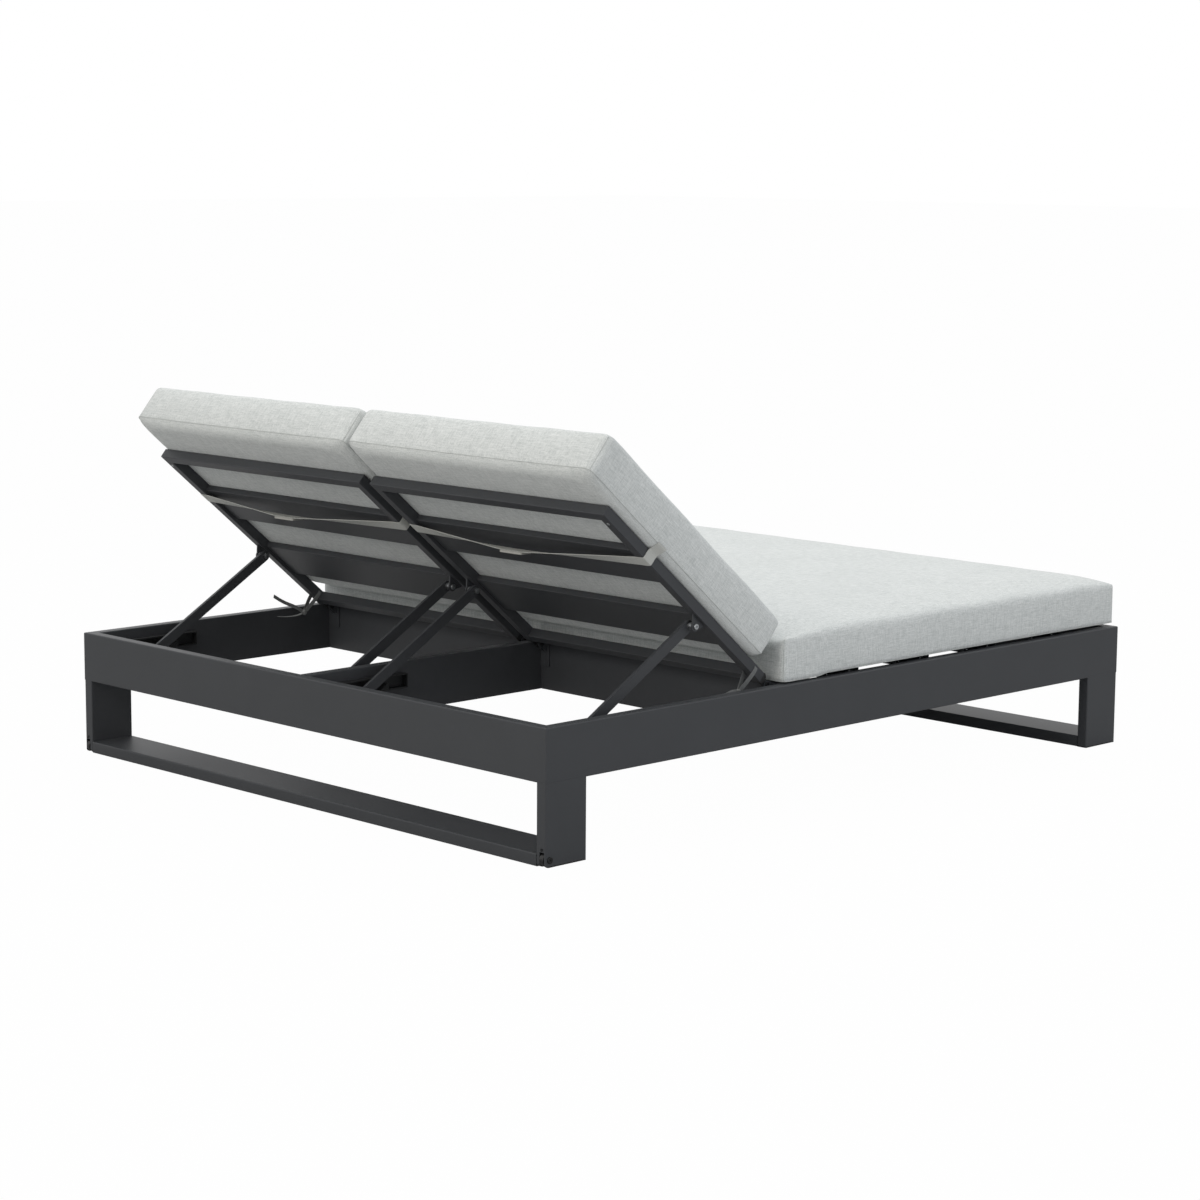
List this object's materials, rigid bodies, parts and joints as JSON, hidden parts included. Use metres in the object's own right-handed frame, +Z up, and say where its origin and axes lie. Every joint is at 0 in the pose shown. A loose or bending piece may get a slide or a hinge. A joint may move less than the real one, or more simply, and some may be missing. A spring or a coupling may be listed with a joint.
{
  "type": "double chaise lounger",
  "caption": "Low double sun lounger with a slatted metal frame, independently reclining propped backrests, box cushions and small corner wheels.",
  "frame": {"origin": "on the floor, under the middle of the lounger's overall box", "axes": "+Z up, +Y towards the head end where the wheels are, X across the lounger with left at -X"},
  "size_m": [1.676, 2.005, 0.9007],
  "materials": {
    "frame_metal": "satin",
    "rack_metal": "satin",
    "zinc_steel": "satin",
    "black_steel": "satin",
    "black_plastic": "matte",
    "slider_plastic": "matte",
    "wheel_plastic": "satin",
    "cushion_fabric": "matte",
    "webbing": "matte"
  },
  "bodies": {
    "frame": {"side_rail_left": "frame_metal", "side_rail_right": "frame_metal", "head_rail": "frame_metal", "foot_rail": "frame_metal", "hinge_rail": "frame_metal", "centre_rail_head": "frame_metal", "centre_rail_seat": "frame_metal", "leg_head_left": "frame_metal", "leg_head_right": "frame_metal", "leg_foot_left": "frame_metal", "leg_foot_right": "frame_metal", "runner_head": "frame_metal", "runner_foot": "frame_metal", "foot_plugs": "black_plastic", "wheel_housing_left": "black_plastic", "wheel_housing_right": "black_plastic", "wheel_axles": "black_steel", "housing_screws": "black_steel", "seat_ledges": "frame_metal", "seat_slats_left": "frame_metal", "seat_slats_right": "frame_metal", "seat_slat_screws": "zinc_steel", "notch_racks_left": "rack_metal", "notch_racks_right": "rack_metal", "hinge_brackets": "frame_metal", "hinge_bushes": "black_plastic", "hinge_bolts": "black_steel", "seat_cushion": "cushion_fabric"},
    "backrest_left": {"back_tube_inner_left": "frame_metal", "back_tube_outer_left": "frame_metal", "back_top_tube_left": "frame_metal", "back_slat_upper_left": "frame_metal", "back_slat_lower_left": "frame_metal", "back_bottom_bar_left": "frame_metal", "hinge_ends_left": "black_plastic", "prop_spacers_left": "zinc_steel", "prop_bolts_left": "zinc_steel", "back_cushion_left": "cushion_fabric", "back_strap_left": "webbing", "strap_slider_left": "slider_plastic", "tie_tape_left": "webbing"},
    "prop_left": {"prop_arms_left": "frame_metal", "prop_rod_left": "frame_metal"},
    "wheel_left": {"wheel_left": "wheel_plastic"},
    "backrest_right": {"back_tube_inner_right": "frame_metal", "back_tube_outer_right": "frame_metal", "back_top_tube_right": "frame_metal", "back_slat_upper_right": "frame_metal", "back_slat_lower_right": "frame_metal", "back_bottom_bar_right": "frame_metal", "hinge_ends_right": "black_plastic", "prop_spacers_right": "zinc_steel", "prop_bolts_right": "zinc_steel", "back_cushion_right": "cushion_fabric", "back_strap_right": "webbing", "strap_slider_right": "slider_plastic", "tie_tape_right": "webbing"},
    "prop_right": {"prop_arms_right": "frame_metal", "prop_rod_right": "frame_metal"},
    "wheel_right": {"wheel_right": "wheel_plastic"}
  },
  "joints": [
    {"name": "backrest_left_recline", "type": "hinge", "parent": "frame", "child": "backrest_left", "pos_m": [-0.40375, 0.2645, 0.2975], "axis": [1, 0, 0], "range_deg": [-40.2, 15.7]},
    {"name": "backrest_right_recline", "type": "hinge", "parent": "frame", "child": "backrest_right", "pos_m": [0.40375, 0.2645, 0.2975], "axis": [1, 0, 0], "range_deg": [-40.2, 15.7]},
    {"name": "prop_left_swing", "type": "hinge", "parent": "backrest_left", "child": "prop_left", "pos_m": [-0.40375, 0.49473, 0.45344], "axis": [1, 0, 0], "range_deg": [-30, 70]},
    {"name": "prop_right_swing", "type": "hinge", "parent": "backrest_right", "child": "prop_right", "pos_m": [0.40375, 0.49473, 0.45344], "axis": [1, 0, 0], "range_deg": [-30, 70]},
    {"name": "wheel_left_spin", "type": "hinge", "parent": "frame", "child": "wheel_left", "pos_m": [-0.824, 0.987, 0.016], "axis": [1, 0, 0], "continuous": true},
    {"name": "wheel_right_spin", "type": "hinge", "parent": "frame", "child": "wheel_right", "pos_m": [0.824, 0.987, 0.016], "axis": [1, 0, 0], "continuous": true}
  ],
  "couplings": [
    {"joint": "prop_left_swing", "follows": "backrest_left_recline", "ratio": -1.7},
    {"joint": "prop_right_swing", "follows": "backrest_right_recline", "ratio": -1.7}
  ]
}
